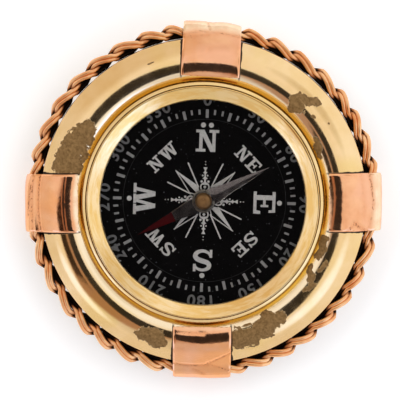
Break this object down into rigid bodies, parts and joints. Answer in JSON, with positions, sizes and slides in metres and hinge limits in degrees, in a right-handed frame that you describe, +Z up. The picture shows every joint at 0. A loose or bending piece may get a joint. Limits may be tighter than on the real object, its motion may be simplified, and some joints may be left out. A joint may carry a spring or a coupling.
{
  "type": "lifebuoy desk compass",
  "caption": "Desk compass shaped as a lifebuoy: brass ring, copper bands and twisted wire rope around a glazed dial with a free-swinging needle.",
  "frame": {"origin": "centre of the round felt foot, at the height of the surface the compass rests on", "axes": "+Z up out of the glass, +Y towards the dial's north mark, +X towards its east mark"},
  "size_m": [0.0802, 0.0802, 0.014],
  "materials": {
    "ring_brass": "polished",
    "bezel_brass": "polished",
    "case_brass": "satin",
    "pivot_brass": "polished",
    "band_copper": "polished copper",
    "rope_copper": "copper, darkened in the crevices",
    "clear_glass": "clear",
    "gasket_rubber": "matt",
    "spacer_black": "matt",
    "dial_black": "matt printed",
    "plate_aluminium": "mill",
    "pin_steel": "ground",
    "blade_steel": "plated, with one arm red",
    "jewel": "polished",
    "felt": "felt"
  },
  "bodies": {
    "case": {"ring_upper_shell": "ring_brass", "ring_lower_shell": "ring_brass", "rope_wire_a1": "rope_copper", "rope_wire_a2": "rope_copper", "rope_wire_b1": "rope_copper", "rope_wire_b2": "rope_copper", "band_north": "band_copper", "band_east": "band_copper", "band_south": "band_copper", "band_west": "band_copper", "case_cup": "case_brass", "bezel_ring": "bezel_brass", "base_plate": "case_brass", "base_felt": "felt", "glass": "clear_glass", "glass_gasket": "gasket_rubber", "dial_spacer_ring": "spacer_black", "dial_card": "dial_black", "dial_plate": "plate_aluminium", "pivot_boss": "pivot_brass", "pivot_pin": "pin_steel"},
    "needle": {"needle_blade": "blade_steel", "needle_cap": "pivot_brass", "needle_jewel": "jewel"}
  },
  "joints": [
    {"name": "needle_swing", "type": "hinge", "parent": "case", "child": "needle", "pos_m": [0, 0, 0.00965], "axis": [0, 0, 1], "continuous": true}
  ]
}
